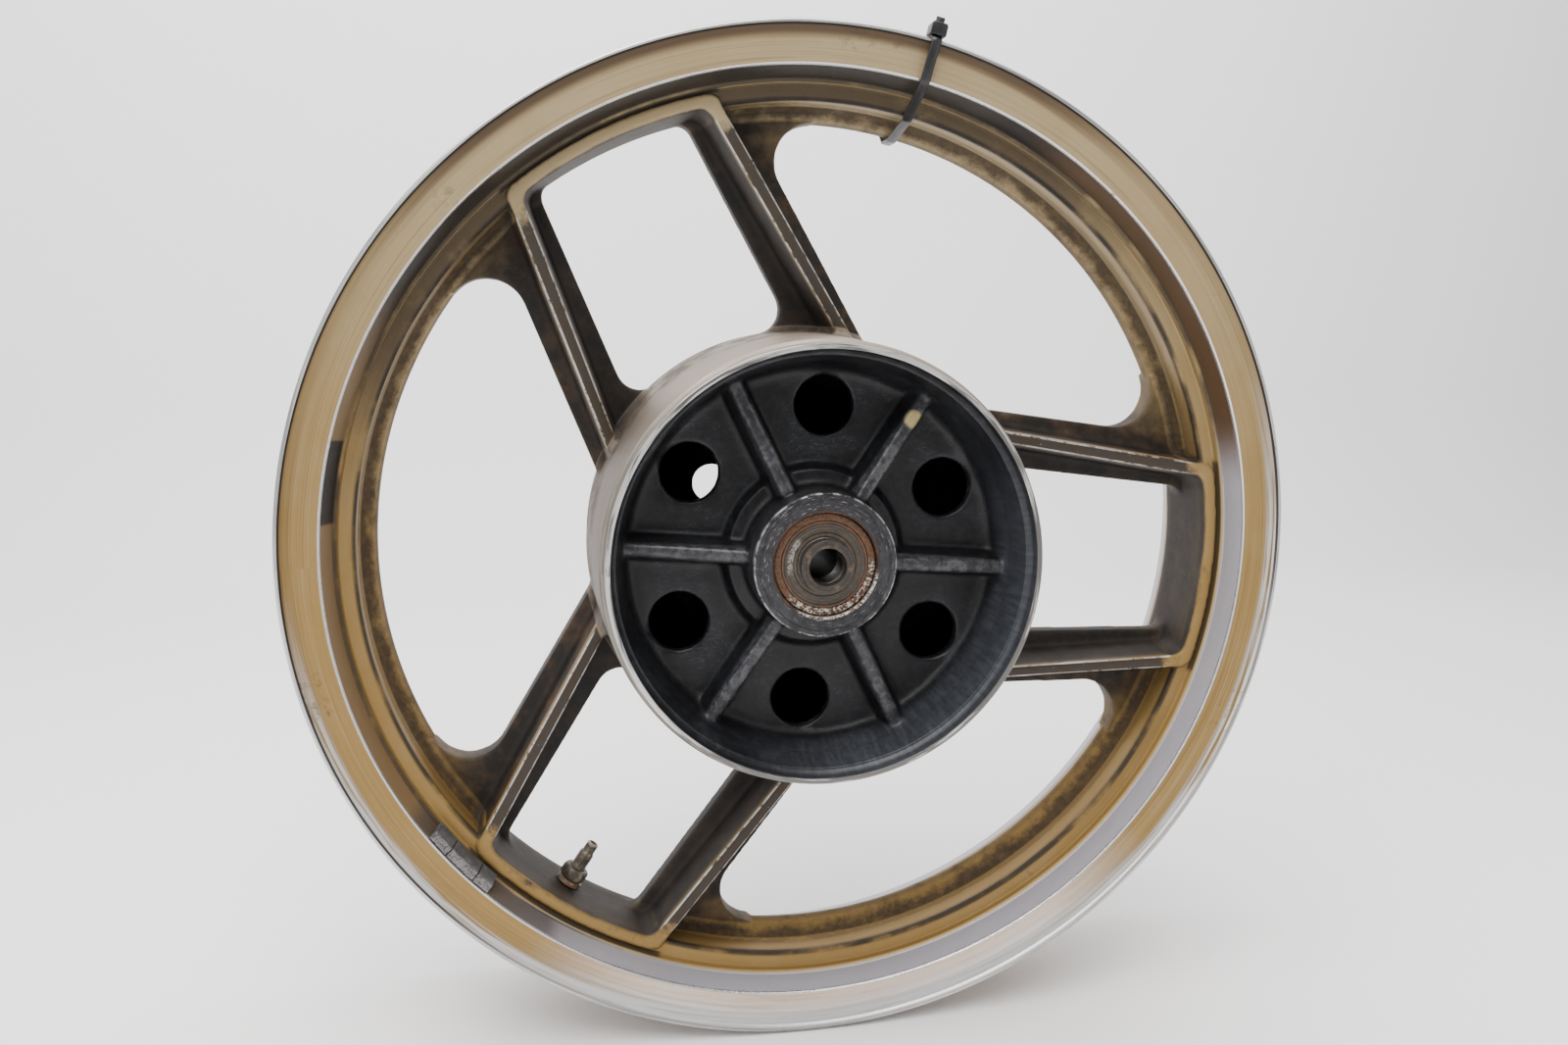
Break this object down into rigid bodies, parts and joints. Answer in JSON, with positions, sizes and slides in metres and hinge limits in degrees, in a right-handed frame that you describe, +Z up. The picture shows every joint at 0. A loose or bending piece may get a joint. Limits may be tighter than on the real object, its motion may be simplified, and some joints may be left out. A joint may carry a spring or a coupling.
{
  "type": "motorcycle wheel",
  "caption": "Cast alloy motorcycle wheel with three pairs of parallel spokes, a wide drum brake hub, wheel bearings, tyre valve and clamp-on balance weights.",
  "frame": {"origin": "on the axle line, midway between the rim's two faces", "axes": "+Y along the axle from the drum side to the disc side, +Z up, the tyre valve at lower left"},
  "size_m": [0.4846, 0.147, 0.4879],
  "materials": {
    "gold_casting": "faded gold paint on cast aluminium, worn to bare metal on edges",
    "bearing_steel": "ground",
    "cage_steel": "pressed sheet",
    "spacer_steel": "plain, dull",
    "washer_steel": "dull",
    "seal_rubber": "dusty",
    "valve_brass": "tarnished",
    "weight_lead": "dull grey, bright chamfer",
    "tie_nylon": "black"
  },
  "bodies": {
    "wheel": {"wheel_casting": "gold_casting", "drum_bearing_outer_race": "bearing_steel", "drum_bearing_seal_drum_side": "seal_rubber", "drum_bearing_seal_disc_side": "seal_rubber", "disc_bearing_outer_race": "bearing_steel", "disc_bearing_seal_drum_side": "seal_rubber", "disc_bearing_seal_disc_side": "seal_rubber", "disc_side_dust_seal": "seal_rubber", "valve_stem": "valve_brass", "valve_core": "valve_brass", "valve_nut": "valve_brass", "valve_washer": "washer_steel", "valve_grommet": "seal_rubber", "balance_weight_1": "weight_lead", "balance_weight_2": "weight_lead", "balance_weight_3": "weight_lead", "cable_tie": "tie_nylon"},
    "axle_core": {"drum_bearing_inner_race": "bearing_steel", "disc_bearing_inner_race": "bearing_steel", "distance_collar": "spacer_steel", "drum_side_spacer": "spacer_steel"},
    "drum_side_balls": {"drum_bearing_cage": "cage_steel", "drum_bearing_ball_1": "bearing_steel", "drum_bearing_ball_2": "bearing_steel", "drum_bearing_ball_3": "bearing_steel", "drum_bearing_ball_4": "bearing_steel", "drum_bearing_ball_5": "bearing_steel", "drum_bearing_ball_6": "bearing_steel", "drum_bearing_ball_7": "bearing_steel"},
    "disc_side_balls": {"disc_bearing_cage": "cage_steel", "disc_bearing_ball_1": "bearing_steel", "disc_bearing_ball_2": "bearing_steel", "disc_bearing_ball_3": "bearing_steel", "disc_bearing_ball_4": "bearing_steel", "disc_bearing_ball_5": "bearing_steel", "disc_bearing_ball_6": "bearing_steel", "disc_bearing_ball_7": "bearing_steel"}
  },
  "joints": [
    {"name": "axle_spin", "type": "hinge", "parent": "wheel", "child": "axle_core", "pos_m": [0, 0, 0], "axis": [0, 1, 0], "continuous": true},
    {"name": "drum_side_balls_spin", "type": "hinge", "parent": "wheel", "child": "drum_side_balls", "pos_m": [0, -0.0685, 0], "axis": [0, 1, 0], "continuous": true},
    {"name": "disc_side_balls_spin", "type": "hinge", "parent": "wheel", "child": "disc_side_balls", "pos_m": [0, 0.046, 0], "axis": [0, 1, 0], "continuous": true}
  ],
  "couplings": [
    {"joint": "drum_side_balls_spin", "follows": "axle_spin", "ratio": 0.36356},
    {"joint": "disc_side_balls_spin", "follows": "axle_spin", "ratio": 0.36356}
  ]
}
